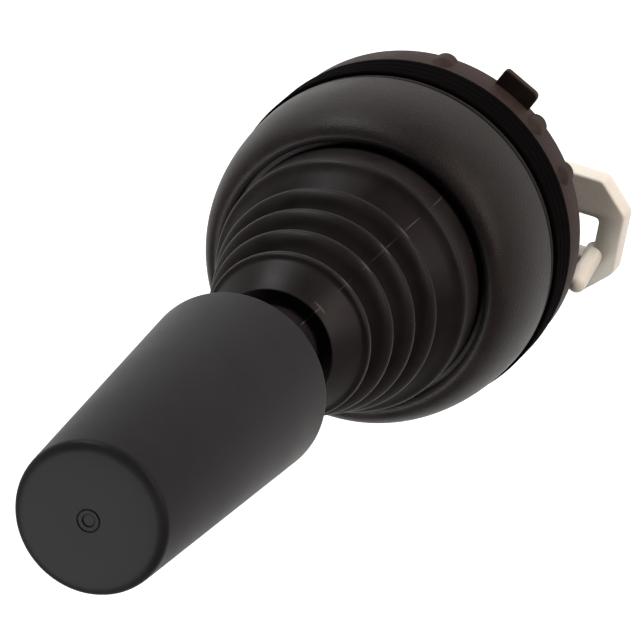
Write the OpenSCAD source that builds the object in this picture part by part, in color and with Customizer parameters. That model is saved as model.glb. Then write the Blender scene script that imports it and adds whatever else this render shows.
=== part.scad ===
// Four-way joystick for a 22.5 mm panel hole: a tapered grip on a sprung lever, a rubber bellows
// in a domed bezel, a gasket and a lock nut, and four sliders that work the switches behind.
// Origin: centre of the gasket's rear face, where the panel sits. +Z runs along the lever to its
// tip, +X points along the right push arm.

/* [Grip and lever] */
// Height of the grip's tip above the panel seat
tip_z = 75; // [70:0.5:90]
// Length of the grip
grip_len = 32.6; // [28:0.2:38]
// Diameter of the grip at its base
grip_base_d = 16; // [14:0.2:18]
// Diameter of the grip at its tip
grip_tip_d = 12.7; // [11:0.1:14]
// Rounding of the edge of the grip's tip
grip_tip_round = 0.8; // [0.3:0.1:1.5]
// Rounding of the edge of the grip's base
grip_base_round = 0.5; // [0.2:0.1:1]
// Diameter of the lever's steel shaft
shaft_d = 5; // [4:0.1:5.4]
// Diameter of the threaded end below the hub
stud_d = 3.5; // [3:0.1:4]
// Diameter of the brass insert in the grip
insert_d = 8; // [7:0.1:9]
// Length of the brass insert
insert_len = 12; // [8:0.5:18]
// Depth that the shaft reaches into the grip
shaft_reach = 15; // [13:0.5:20]

/* [Bezel and seal] */
// Diameter of the bezel at its rear edge
bezel_d = 29.7; // [29.2:0.1:32]
// Diameter of the opening round the bellows
opening_d = 23.5; // [23.2:0.1:24]
// Height of the opening's lip above the panel seat
lip_z = 13.4; // [13.2:0.1:15]
// Rise of the dome's crest above the lip
crest_rise = 0.4; // [0.2:0.05:0.8]
// Width of the bead along the bezel's rear edge
rim_h = 0.45; // [0.3:0.05:0.8]
// Thickness of the gasket
gasket_h = 4; // [3:0.1:5]
// How far the gasket stands out past the bezel
gasket_lip = 0.3; // [0.1:0.05:0.6]

/* [Sleeve and lock nut] */
// Outside diameter of the threaded sleeve
sleeve_d = 21.8; // [21.4:0.1:22.2]
// Wall of the threaded sleeve
sleeve_wall = 1.5; // [1.3:0.05:1.7]
// Length of the sleeve behind the panel seat
sleeve_len = 8.2; // [8:0.1:8.4]
// Outside diameter of the cup inside the bezel
cup_d = 25.6; // [25.2:0.1:26]
// Wall of the cup
cup_wall = 1.2; // [1:0.05:1.4]
// Thickness of the cup's floor
cup_floor = 1.4; // [1.2:0.1:1.6]
// Diameter of the lock nut between its ribs
nut_d = 29.8; // [29:0.1:31]
// Length of the lock nut
nut_h = 3.4; // [3:0.1:3.6]
// Number of ribs round the lock nut
nut_ribs = 19; // [12:1:24]
// Radius of each half-round rib
rib_r = 0.85; // [0.5:0.05:1.1]
// Width of the two lugs on the lock nut
lug_w = 4.2; // [3:0.1:6]
// Distance from the axis to the end of a lug
lug_reach = 16.9; // [16:0.1:18]
// Length of a lug along the axis
lug_h = 2; // [1:0.1:3]

/* [Bellows] */
// Wall of the rubber bellows
rubber = 1; // [0.8:0.05:1.2]
// Radius of the skirt just above the bezel's lip
skirt_r = 11.3; // [11:0.05:11.5]
// Height of the skirt's shoulder above the panel seat
shoulder_z = 17; // [16:0.1:18]
// Number of folds above the shoulder
folds = 4; // [2:1:5]
// Radius of the first fold's crest
first_fold_r = 9.9; // [9:0.1:10.4]
// Radius of the last fold's crest
last_fold_r = 7.3; // [6.8:0.1:8]
// Height of the first fold's crest above the panel seat
first_fold_z = 20.8; // [20:0.1:22]
// Distance between two folds
fold_pitch = 3; // [2.6:0.1:3.3]
// Depth of the valley before each fold
fold_depth = 0.75; // [0.5:0.05:1]
// Half the width of a fold's crest
crest_half = 0.45; // [0.3:0.05:0.6]
// Length of the cone above the last fold
collar_h = 3.2; // [2.6:0.1:3.6]
// Radius at the top of the cone
collar_r = 5.2; // [4.8:0.1:5.8]
// Radius of the neck round the shaft
neck_r = 3.9; // [3.8:0.1:4.4]

/* [Gimbal] */
// Height of the pivot above the panel seat
pivot_z = 8; // [7.9:0.05:8.1]
// Tilt of the lever each way, in degrees
tilt = 15; // [10:0.5:15]
// Outside radius of the gimbal ring
ring_r = 6.6; // [6.4:0.1:6.8]
// Wall of the gimbal ring
ring_wall = 1.7; // [1.5:0.1:1.8]
// Height of the gimbal ring
ring_h = 3.2; // [3:0.1:3.3]
// Diameter of the pivot pins
pin_d = 1.8; // [1.6:0.1:2]
// Outside diameter of the pivot bushes
bush_d = 3; // [2.8:0.1:3.2]
// Diameter of the hub's ball
hub_d = 8.4; // [8:0.1:8.8]
// Radius of the rocker plate
rocker_r = 8; // [7.6:0.1:8]
// Thickness of the rocker plate
rocker_h = 1.4; // [1.2:0.1:1.6]
// Thickness of the gate plate
gate_h = 0.8; // [0.6:0.1:1]

/* [Sliders and push arms] */
// Distance of each slider from the axis
slider_r = 6; // [5.8:0.1:6.1]
// Diameter of a slider's rod
rod_d = 3; // [2.6:0.1:3.2]
// Gap between a slider's head and the rocker plate
head_gap = 0.6; // [0.6:0.05:0.8]
// Diameter of the flange that carries the spring
flange_d = 4.8; // [4.6:0.1:5]
// Diameter of a spring's wire
wire_d = 0.5; // [0.4:0.05:0.6]
// Turns of each slider's spring
spring_turns = 4; // [3:0.5:5]
// Thickness of the guide disc
guide_h = 2.6; // [2:0.1:3]
// Distance of the push faces behind the panel seat
push_face = 12.5; // [12.3:0.1:14]
// Thickness of the push arms
arm_h = 2.4; // [2:0.1:2.6]
// Reach of a push arm from the axis
arm_reach = 16.6; // [15:0.1:18]
// Width of a push arm
arm_w = 10.7; // [9:0.1:11]
// Chamfer of a push arm's corners
arm_chamfer = 2.6; // [2:0.1:3]
// Length of the window in a push arm
window_len = 4; // [3:0.1:4.5]
// Width of the window in a push arm
window_w = 3.7; // [3:0.1:4.5]
// Wall between the window and the end of the arm
window_end = 2.2; // [1.8:0.1:3]
// Diameter of the peg on a push arm
peg_d = 1.9; // [1.5:0.1:2.2]

/* [Hidden] */
$fn = 96;

// Clearances
running = 0.05;
press = 0.02;
seat = 0.1;
motion = 0.3;
eps = 0.01;

// Grip, insert and shaft
grip_z = tip_z - grip_len;
insert_bore = shaft_d + 2 * press;
washer_h = 0.8;
washer_d = 2 * neck_r + 0.6;
neck_top_z = grip_z - washer_h;

// Bezel: the dome is a quarter of an ellipse between its rear bead and its crest
dome_z = gasket_h + rim_h + 0.2;
dome_top_z = lip_z + crest_rise;
lip_round = 0.5;
crest_r = opening_d / 2 + lip_round;
rim_groove = 0.15;
lip_h = 0.5;
bead_h = 0.8;
cup_seat = 0.15;
dome_steps = 20;

// Heights of the stack inside the bezel
lip_under_z = lip_z - lip_h;
gate_top_z = lip_under_z - bead_h;
cup_top_z = gate_top_z - gate_h;
gate_r = cup_d / 2 - 0.2;

// Sleeve and cup
bore_r = sleeve_d / 2 - sleeve_wall;
cup_r = cup_d / 2 - cup_wall;
pillar_w = 4.6;
pillar_drop = 1.9;
bush_len = 2.3;
bush_hole = bush_len + 0.2;
ledge_h = 1;
ledge_w = 0.65;

// Lock nut: no rib stands where a lug does
lug_angle = 64.7;
lug_corner = 0.9;
rib_clear = (lug_w / 2 + rib_r / 2) / (nut_d / 2);

// Gimbal, hub and rocker, as heights below the pivot
rocker_top = ring_r * sin(tilt) + ring_h / 2 * cos(tilt) + motion;
rocker_under = rocker_top + rocker_h;
hub_top = 3.3;
rocker_nut_d = 5.2;
rocker_nut_h = 1.25;
stud_end = rocker_under + rocker_nut_h + 0.15;
ring_bore_r = ring_r - ring_wall;
gimbal_pin_end = bore_r + bush_len - 0.3;
gate_half = shaft_d / 2 / cos(tilt) + (gate_top_z - pivot_z) * tan(tilt) + motion;
gate_corner = 1.5;

// Sliders: the head's ball stands under the rocker plate and rides up and down with it
travel = 1.6;
head_z = pivot_z - rocker_under - head_gap - rod_d / 2;
flange_h = 0.6;
guide_top_z = -(nut_h + 0.2);
guide_z = guide_top_z - guide_h;
flange_z = guide_top_z + 3.4;
spring_seat = 0.5;
spring_r = rod_d / 2 + 0.15 + wire_d / 2;
arm_front_z = -push_face + arm_h;
stub_d = rod_d - 0.6;
pad_d = 5.6;
clip_h = 0.8;
clip_groove = 0.5;
clip_w = 1.3;
clip_gap = 50;

// Push arm: the root stays clear of the short sliders' pads
arm_root = slider_r - 2.6;
root_chamfer = arm_chamfer + 0.6;
peg_base = [15.4, -1.4, arm_front_z - 0.3];
peg_tip = [14.85, -3.3, -nut_h - motion - travel - peg_d / 2];

// Outline of the bellows' outer surface, from the bead to the neck, thickened inwards
function fold_r(i) = first_fold_r + (last_fold_r - first_fold_r) * i / (folds - 1);
function fold_z(i) = first_fold_z + fold_pitch * i;
last_z = fold_z(folds - 1);
collar_z = last_z + crest_half + collar_h;

module grip() {
    base_r = grip_base_d / 2;
    tip_r = grip_tip_d / 2;
    color([0.13, 0.13, 0.14]) difference() {
        rotate_extrude() polygon(concat(
            [[0, grip_z], [base_r - grip_base_round, grip_z]],
            [for (a = [-60:30:0]) [base_r - grip_base_round + grip_base_round * cos(a),
                grip_z + grip_base_round + grip_base_round * sin(a)]],
            [for (a = [0:15:75]) [tip_r - grip_tip_round + grip_tip_round * cos(a),
                tip_z - 0.2 - grip_tip_round + grip_tip_round * sin(a)]],
            [[tip_r * 0.6, tip_z - 0.05], [0, tip_z]]
        ));
        translate([0, 0, grip_z - eps]) cylinder(d = insert_d + 2 * press, h = insert_len + eps);
        translate([0, 0, grip_z]) cylinder(d = insert_bore, h = shaft_reach + seat);
    }
}

module grip_insert() {
    color([0.72, 0.58, 0.30]) translate([0, 0, grip_z]) difference() {
        union() {
            cylinder(d = insert_d, h = insert_len * 0.4);
            cylinder(d = insert_d - 0.8, h = insert_len * 0.6);
            translate([0, 0, insert_len * 0.6]) cylinder(d = insert_d, h = insert_len * 0.4);
        }
        translate([0, 0, -eps]) cylinder(d = insert_bore, h = insert_len + 2 * eps);
    }
}

module lever_shaft() {
    color([0.66, 0.67, 0.69]) {
        translate([0, 0, pivot_z - rocker_top])
            cylinder(d = shaft_d, h = grip_z + shaft_reach - pivot_z + rocker_top);
        translate([0, 0, pivot_z - stud_end]) cylinder(d = stud_d, h = stud_end - rocker_top + eps);
    }
}

module neck_washer() {
    color([0.2, 0.2, 0.21]) translate([0, 0, neck_top_z]) difference() {
        cylinder(d = washer_d, h = washer_h);
        translate([0, 0, -eps]) cylinder(d = insert_bore, h = washer_h + 2 * eps);
    }
}

module pivot_hub() {
    color([0.60, 0.61, 0.62]) translate([0, 0, pivot_z]) difference() {
        intersection() {
            sphere(d = hub_d);
            translate([0, 0, -rocker_top]) cylinder(d = hub_d + 1, h = rocker_top + hub_top);
        }
        translate([0, 0, -hub_d]) cylinder(d = shaft_d + 2 * press, h = 2 * hub_d);
        rotate([90, 0, 0]) cylinder(d = pin_d + 2 * press, h = 2 * hub_d, center = true);
    }
}

module hub_pins() {
    inner = shaft_d / 2 + 0.1;
    color([0.75, 0.75, 0.77]) translate([0, 0, pivot_z])
        for (side = [90, -90])
            rotate([side, 0, 0]) translate([0, 0, inner]) cylinder(d = pin_d, h = ring_r - 0.1 - inner);
}

module rocker_plate() {
    color([0.63, 0.63, 0.65]) translate([0, 0, pivot_z - rocker_under]) difference() {
        cylinder(r = rocker_r, h = rocker_h);
        translate([0, 0, -eps]) cylinder(d = stud_d + 2 * press, h = rocker_h + 2 * eps);
    }
}

module rocker_nut() {
    color([0.70, 0.70, 0.72]) translate([0, 0, pivot_z - rocker_under - rocker_nut_h]) difference() {
        cylinder(d = rocker_nut_d, h = rocker_nut_h, $fn = 6);
        translate([0, 0, -eps]) cylinder(d = stud_d + 2 * press, h = rocker_nut_h + 2 * eps);
    }
}

module gimbal_ring() {
    color([0.55, 0.56, 0.58]) translate([0, 0, pivot_z]) difference() {
        cylinder(r = ring_r, h = ring_h, center = true);
        cylinder(r = ring_bore_r, h = ring_h + 1, center = true);
        rotate([0, 90, 0]) cylinder(d = pin_d + 2 * press, h = 3 * ring_r, center = true);
        rotate([90, 0, 0]) cylinder(d = pin_d + 2 * running, h = 3 * ring_r, center = true);
    }
}

module gimbal_pins() {
    inner = ring_bore_r + 0.05;
    color([0.75, 0.75, 0.77]) translate([0, 0, pivot_z])
        for (side = [90, -90])
            rotate([0, side, 0]) translate([0, 0, inner]) cylinder(d = pin_d, h = gimbal_pin_end - inner);
}

module pivot_bushes() {
    color([0.62, 0.47, 0.25]) translate([0, 0, pivot_z])
        for (side = [90, -90])
            rotate([0, side, 0]) translate([0, 0, bore_r]) difference() {
                cylinder(d = bush_d, h = bush_len);
                translate([0, 0, -eps]) cylinder(d = pin_d + 2 * running, h = bush_len + 2 * eps);
            }
}

module front_bezel() {
    dome_r = bezel_d / 2;
    color([0.15, 0.15, 0.15]) rotate_extrude() polygon(concat(
        [[cup_d / 2 + cup_seat, gasket_h], [dome_r, gasket_h], [dome_r, gasket_h + rim_h],
            [dome_r - rim_groove, gasket_h + rim_h], [dome_r - rim_groove, dome_z]],
        [for (i = [0:dome_steps]) let (a = 90 * i / dome_steps)
            [crest_r + (dome_r + 0.08 - crest_r) * cos(a), dome_z + (dome_top_z - dome_z) * sin(a)]],
        [for (a = [105:15:180]) [crest_r + lip_round * cos(a), lip_z + crest_rise * sin(a)]],
        [[opening_d / 2, lip_under_z], [cup_d / 2 + 0.05, lip_under_z], [cup_d / 2 + 0.05, cup_top_z],
            [cup_d / 2 + cup_seat, cup_top_z]]
    ));
}

module panel_gasket() {
    outer = bezel_d / 2 + gasket_lip;
    edge = 0.3;
    color([0.05, 0.05, 0.05]) rotate_extrude() polygon([
        [sleeve_d / 2 + seat, 0], [outer - edge, 0], [outer, edge], [outer, gasket_h - edge],
        [outer - edge, gasket_h], [sleeve_d / 2 + seat, gasket_h]
    ]);
}

// Pillar on the cup's wall that carries one gimbal bush
module bearing_pillar() {
    intersection() {
        translate([bore_r, -pillar_w / 2, pivot_z - pillar_drop])
            cube([cup_r + cup_wall / 2 - bore_r, pillar_w, cup_top_z - pivot_z + pillar_drop]);
        cylinder(r = cup_r + cup_wall / 2, h = cup_top_z);
    }
}

module threaded_sleeve() {
    color([0.12, 0.12, 0.12]) difference() {
        union() {
            rotate_extrude() polygon([
                [bore_r, -sleeve_len], [sleeve_d / 2 - 0.5, -sleeve_len], [sleeve_d / 2, 0.5 - sleeve_len],
                [sleeve_d / 2, gasket_h], [cup_d / 2, gasket_h], [cup_d / 2, cup_top_z], [cup_r, cup_top_z],
                [cup_r, gasket_h + cup_floor], [bore_r, gasket_h + cup_floor],
                [bore_r, guide_top_z + ledge_h], [bore_r - ledge_w, guide_top_z + ledge_h],
                [bore_r - ledge_w, guide_top_z], [bore_r, guide_top_z]
            ]);
            for (turn = [0, 180]) rotate(turn) bearing_pillar();
        }
        for (side = [90, -90])
            translate([0, 0, pivot_z]) rotate([0, side, 0]) translate([0, 0, bore_r - 1])
                cylinder(d = bush_d + 2 * press, h = 1 + bush_hole);
        translate([0, 0, guide_z - clip_h - seat])
            cylinder(r = bore_r + clip_groove, h = clip_h + seat);
    }
}

module lock_nut() {
    color([0.15, 0.13, 0.12]) difference() {
        union() {
            translate([0, 0, -nut_h]) cylinder(d = nut_d, h = nut_h);
            for (i = [0:nut_ribs - 1]) let (angle = 90 + 360 * i / nut_ribs)
                if (abs(sin(angle - lug_angle)) > rib_clear) rotate(angle)
                    translate([nut_d / 2, 0, -nut_h]) cylinder(r = rib_r, h = nut_h, $fn = 24);
            for (turn = [0, 180]) rotate(lug_angle + turn)
                translate([0, 0, -nut_h]) linear_extrude(lug_h) lug_outline();
        }
        translate([0, 0, -nut_h - 1]) cylinder(d = sleeve_d + 2 * seat, h = nut_h + 2);
    }
}

// Square lug with one rounded corner, from inside the nut's edge to its reach
module lug_outline() {
    root = nut_d / 2 - 2;
    polygon(concat(
        [[root, lug_w / 2], [root, -lug_w / 2]],
        [for (a = [-90:15:0]) [lug_reach - lug_corner + lug_corner * cos(a),
            lug_corner - lug_w / 2 + lug_corner * sin(a)]],
        [[lug_reach, lug_w / 2]]
    ));
}

module gate_plate() {
    side = 2 * (gate_half - gate_corner);
    color([0.5, 0.51, 0.53]) translate([0, 0, cup_top_z]) difference() {
        cylinder(r = gate_r, h = gate_h);
        translate([0, 0, -eps]) linear_extrude(gate_h + 2 * eps) {
            square([side, 2 * gate_half], center = true);
            square([2 * gate_half, side], center = true);
            for (x = [-1, 1], y = [-1, 1]) translate([x, y] * side / 2) circle(gate_corner);
        }
    }
}

// Outer wall of the bellows as [radius, height] points, shifted inwards by inset
function bellows_wall(inset) = concat(
    [[skirt_r + 0.05 - inset, gate_top_z], [skirt_r - inset, shoulder_z - 0.6],
        [skirt_r - 0.2 - inset, shoulder_z - inset * 0.4], [skirt_r - 0.7 - inset, shoulder_z + 0.2 - inset]],
    [for (i = [0:folds - 1]) each [
        [fold_r(i) - fold_depth - inset, fold_z(i) - fold_pitch / 2 - inset * 0.2],
        [fold_r(i) - 0.12 - inset, fold_z(i) - crest_half],
        [fold_r(i) - inset, fold_z(i)],
        [fold_r(i) - 0.25 - inset, fold_z(i) + crest_half]
    ]],
    [[collar_r - inset, collar_z - inset * 0.5], [neck_r - inset, collar_z + 0.3 - inset * 0.5],
        [neck_r - inset, neck_top_z]]
);

module bellows() {
    outer = bellows_wall(0);
    inner = bellows_wall(rubber);
    count = len(inner);
    color([0.09, 0.085, 0.085]) rotate_extrude() polygon(concat(
        [[gate_r, gate_top_z], [gate_r, lip_under_z - 0.05], [skirt_r, lip_under_z - 0.05]],
        [for (i = [1:count - 1]) outer[i]],
        [for (i = [0:count - 1]) inner[count - 1 - i]]
    ));
}

module slider_guide() {
    color([0.16, 0.16, 0.16]) difference() {
        translate([0, 0, guide_z]) cylinder(r = bore_r - seat, h = guide_h);
        for (turn = [0:90:270]) rotate(turn) translate([slider_r, 0, 0]) {
            translate([0, 0, guide_z - 1]) cylinder(d = rod_d + 2 * running, h = guide_h + 2);
            translate([0, 0, guide_top_z - spring_seat]) cylinder(r = spring_r + wire_d, h = 1);
        }
    }
}

module retaining_ring() {
    outer = bore_r + clip_groove - seat;
    color([0.62, 0.63, 0.65]) translate([0, 0, guide_z - clip_h]) difference() {
        cylinder(r = outer, h = clip_h);
        translate([0, 0, -1]) cylinder(r = outer - clip_w, h = clip_h + 2);
        translate([0, 0, -1]) linear_extrude(clip_h + 2) polygon([
            [0, 0], 2 * outer * [cos(45 - clip_gap / 2), sin(45 - clip_gap / 2)],
            2 * outer * [cos(45 + clip_gap / 2), sin(45 + clip_gap / 2)]
        ]);
    }
}

// White slider on +X: ball head, spring flange, rod and the stub for its arm or pad
module slider_body() {
    color([0.86, 0.84, 0.79]) translate([slider_r, 0, 0]) {
        translate([0, 0, head_z]) sphere(d = rod_d, $fn = 48);
        translate([0, 0, arm_front_z]) cylinder(d = rod_d, h = head_z - arm_front_z);
        translate([0, 0, flange_z]) cylinder(d = flange_d, h = flange_h);
        translate([0, 0, -push_face]) cylinder(d = stub_d, h = arm_h + eps);
    }
}

module push_pad() {
    color([0.86, 0.84, 0.79]) translate([slider_r, 0, -push_face]) cylinder(d = pad_d, h = arm_h);
}

module push_arm() {
    half = arm_w / 2;
    window_x = arm_reach - window_end - window_len;
    lean = peg_tip - peg_base;
    color([0.86, 0.84, 0.79]) {
        difference() {
            translate([0, 0, -push_face]) linear_extrude(arm_h) polygon([
                [arm_root, root_chamfer - half], [arm_root + root_chamfer, -half],
                [arm_reach - arm_chamfer, -half], [arm_reach, arm_chamfer - half],
                [arm_reach, half - arm_chamfer], [arm_reach - arm_chamfer, half],
                [arm_root + root_chamfer, half], [arm_root, half - root_chamfer]
            ]);
            translate([window_x, -window_w / 2, -push_face - 1]) cube([window_len, window_w, arm_h + 2]);
            translate([slider_r, 0, -push_face - 1]) cylinder(d = stub_d + 2 * press, h = arm_h + 2);
        }
        translate(peg_base) rotate([0, acos(lean[2] / norm(lean)), atan2(lean[1], lean[0])])
            rotate_extrude($fn = 32) polygon(concat(
                [[0, 0], [peg_d / 2, 0]],
                [for (a = [0:15:90]) [peg_d / 2 * cos(a), norm(lean) + peg_d / 2 * sin(a)]]
            ));
    }
}

// Round wire wound round the slider's rod, with a ring of points every 30 degrees
module coil_spring(length) {
    sides = 6;
    steps = spring_turns * 12;
    centre = [for (s = [0:steps]) [spring_r * cos(30 * s), spring_r * sin(30 * s),
        wire_d / 2 + (length - wire_d) * s / steps]];
    points = [for (s = [0:steps], k = [0:sides - 1]) let (a = 360 * k / sides)
        centre[s] + wire_d / 2 * [cos(a) * cos(30 * s), cos(a) * sin(30 * s), sin(a)]];
    walls = [for (s = [0:steps - 1], k = [0:sides - 1]) let (n = (k + 1) % sides)
        [s * sides + k, (s + 1) * sides + k, (s + 1) * sides + n, s * sides + n]];
    polyhedron(points, concat(walls, [[for (k = [0:sides - 1]) k]],
        [[for (k = [0:sides - 1]) (steps + 1) * sides - 1 - k]]));
}

module slider_spring() {
    bottom = guide_top_z - spring_seat + 0.02;
    color([0.7, 0.7, 0.72]) translate([slider_r, 0, bottom]) coil_spring(flange_z - bottom - 0.02);
}

front_bezel();
panel_gasket();
threaded_sleeve();
lock_nut();
gate_plate();
bellows();
pivot_bushes();
slider_guide();
retaining_ring();
gimbal_ring();
gimbal_pins();
grip();
grip_insert();
lever_shaft();
neck_washer();
pivot_hub();
hub_pins();
rocker_plate();
rocker_nut();
slider_body();  // right_slider
rotate(180) slider_body();  // left_slider
rotate(90) { slider_body(); push_pad(); }  // upper_slider
rotate(270) { slider_body(); push_pad(); }  // lower_slider
push_arm();  // right_push_arm
rotate(180) push_arm();  // left_push_arm
slider_spring();  // right_spring
rotate(180) slider_spring();  // left_spring
rotate(90) slider_spring();  // upper_spring
rotate(270) slider_spring();  // lower_spring
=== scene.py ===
"""Industrial joystick for a 22.5 mm panel hole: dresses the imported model, lights it and frames it."""

import logging
import math
from collections.abc import Sequence
from dataclasses import dataclass
from enum import Enum

import bmesh
import bpy
import numpy as np
from mathutils import Matrix, Vector


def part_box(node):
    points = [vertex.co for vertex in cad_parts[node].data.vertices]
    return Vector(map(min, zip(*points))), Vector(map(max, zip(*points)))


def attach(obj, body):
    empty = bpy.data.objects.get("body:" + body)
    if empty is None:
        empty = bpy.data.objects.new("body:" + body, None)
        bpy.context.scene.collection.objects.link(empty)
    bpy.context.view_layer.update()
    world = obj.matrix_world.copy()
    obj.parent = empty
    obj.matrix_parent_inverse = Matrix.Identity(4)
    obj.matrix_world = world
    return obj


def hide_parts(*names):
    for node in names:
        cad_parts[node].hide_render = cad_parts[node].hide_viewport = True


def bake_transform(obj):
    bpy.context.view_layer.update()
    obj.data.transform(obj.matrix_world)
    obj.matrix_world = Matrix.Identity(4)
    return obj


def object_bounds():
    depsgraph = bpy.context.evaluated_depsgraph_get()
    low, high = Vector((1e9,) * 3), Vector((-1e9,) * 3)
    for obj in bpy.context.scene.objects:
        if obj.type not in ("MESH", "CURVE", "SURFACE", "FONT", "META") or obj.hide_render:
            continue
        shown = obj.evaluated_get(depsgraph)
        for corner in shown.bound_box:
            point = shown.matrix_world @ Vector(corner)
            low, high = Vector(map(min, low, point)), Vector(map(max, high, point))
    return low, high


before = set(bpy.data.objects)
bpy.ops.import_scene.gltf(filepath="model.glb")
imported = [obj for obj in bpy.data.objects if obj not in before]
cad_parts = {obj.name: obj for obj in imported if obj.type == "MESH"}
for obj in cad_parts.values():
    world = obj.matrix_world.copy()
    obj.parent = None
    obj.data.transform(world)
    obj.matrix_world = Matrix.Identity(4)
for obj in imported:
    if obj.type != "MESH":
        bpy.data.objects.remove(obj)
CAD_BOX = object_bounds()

MM = 0.001
ROUND_STEPS = 160
SHARP_EDGE = math.radians(38)
PARTING_AZIMUTH = 55.5
REST_PLACE = "moulded_place"

Outline = list[tuple[float, float]]
Socket = bpy.types.NodeSocket

log = logging.getLogger("joystick")


def add_node(
    tree: bpy.types.NodeTree, kind: str, settings: dict[str | int, object] | None = None,
    links: dict[str | int, Socket] | None = None,
) -> bpy.types.Node:
    """Adds a node with its settings and links.

    Args:
        tree: the tree that gets the node.
        kind: the node's type name.
        settings: values by property name, input name or input number.
        links: output sockets by the name or number of the input they feed.

    Returns:
        The new node.
    """
    node = tree.nodes.new(kind)
    for key, value in (settings or {}).items():
        if isinstance(key, str) and hasattr(node, key):
            setattr(node, key, value)
        else:
            node.inputs[key].default_value = value
    for key, source in (links or {}).items():
        tree.links.new(source, node.inputs[key])
    return node


def linear(code: str) -> tuple[float, float, float, float]:
    """Turns an sRGB hex colour into linear red, green, blue and alpha."""
    parts = [int(code[i : i + 2], 16) / 255 for i in (1, 3, 5)]
    red, green, blue = (c / 12.92 if c <= 0.04045 else ((c + 0.055) / 1.055) ** 2.4 for c in parts)
    return red, green, blue, 1.0


# ---------------------------------------------------------------- finishes


@dataclass(frozen=True)
class Finish:
    """What every finish has: its name, two tones, its gloss and how strongly it mirrors."""

    name: str
    tone: str
    second_tone: str
    roughness: float
    gloss_drift: float = 0.05
    patch_mm: float = 3.0
    place: str = ""
    mirror: float = 0.5

    def start(self) -> tuple[bpy.types.NodeTree, bpy.types.Node, Socket]:
        """Makes the empty material.

        Returns:
            Its tree, its Principled shader and the surface place in millimetres.
        """
        material = bpy.data.materials.new(self.name)
        material.use_nodes = True
        material.diffuse_color = linear(self.tone)
        tree = material.node_tree
        tree.nodes.clear()
        shader = add_node(tree, "ShaderNodeBsdfPrincipled", {"Specular IOR Level": self.mirror})
        add_node(tree, "ShaderNodeOutputMaterial", {}, {"Surface": shader.outputs[0]})
        if self.place:
            own = add_node(tree, "ShaderNodeAttribute", {"attribute_name": self.place})
            return tree, shader, own.outputs["Vector"]
        where = add_node(tree, "ShaderNodeTexCoord")
        scaled = add_node(
            tree, "ShaderNodeVectorMath", {"operation": "SCALE", "Scale": 1 / MM},
            {0: where.outputs["Object"]},
        )
        return tree, shader, scaled.outputs[0]

    def tones(self, tree: bpy.types.NodeTree, shader: bpy.types.Node, place: Socket) -> Socket:
        """Gives the shader its wandering gloss and two tones.

        Args:
            tree: the material's tree.
            shader: its Principled shader.
            place: the surface place in millimetres.

        Returns:
            The mixed colour, which a finish may work over before it is linked.
        """
        patches = add_node(
            tree, "ShaderNodeTexNoise", {"Scale": 1 / self.patch_mm, "Detail": 4.0, "Roughness": 0.6},
            {"Vector": place},
        )
        spread = add_node(
            tree, "ShaderNodeMapRange", {"From Min": 0.3, "From Max": 0.7},
            {"Value": patches.outputs["Fac"]},
        )
        gloss = add_node(
            tree, "ShaderNodeMapRange",
            {"To Min": self.roughness - self.gloss_drift, "To Max": self.roughness + self.gloss_drift},
            {"Value": spread.outputs[0]},
        )
        tree.links.new(gloss.outputs[0], shader.inputs["Roughness"])
        tone = add_node(
            tree, "ShaderNodeMix", {"data_type": "RGBA", 6: linear(self.tone), 7: linear(self.second_tone)},
            {0: spread.outputs[0]},
        )
        return tone.outputs[2]


@dataclass(frozen=True)
class MouldedPlastic(Finish):
    """Injection-moulded thermoplastic: its mould's grain shows as fine relief."""

    grain_mm: float = 0.14
    grain_depth_mm: float = 0.012
    flow: float = 0.0
    ior: float = 1.5
    glow: float = 0.0

    def build(self) -> bpy.types.Material:
        """Makes the material, with mould grain in relief and in its tone."""
        tree, shader, place = self.start()
        tone = self.tones(tree, shader, place)
        grain = add_node(
            tree, "ShaderNodeTexNoise", {"Scale": 1 / self.grain_mm, "Detail": 2.0, "Roughness": 0.7},
            {"Vector": place},
        )
        bump = add_node(
            tree, "ShaderNodeBump", {"Strength": 1.0, "Distance": self.grain_depth_mm * MM},
            {"Height": grain.outputs["Fac"]},
        )
        speckle = add_node(
            tree, "ShaderNodeMapRange",
            {"From Min": 0.35, "From Max": 0.65, "To Min": -self.flow, "To Max": self.flow},
            {"Value": grain.outputs["Fac"]},
        )
        lifted = add_node(tree, "ShaderNodeHueSaturation", {"Saturation": 1.0}, {"Color": tone})
        value = add_node(tree, "ShaderNodeMath", {"operation": "ADD", 0: 1.0}, {1: speckle.outputs[0]})
        tree.links.new(value.outputs[0], lifted.inputs["Value"])
        tree.links.new(lifted.outputs[0], shader.inputs["Base Color"])
        tree.links.new(bump.outputs[0], shader.inputs["Normal"])
        shader.inputs["IOR"].default_value = self.ior
        if self.glow:
            shader.inputs["Subsurface Weight"].default_value = self.glow
            shader.inputs["Subsurface Radius"].default_value = (1.0, 0.8, 0.6)
            shader.inputs["Subsurface Scale"].default_value = 0.8 * MM
        return bpy.data.materials[self.name]


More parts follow.
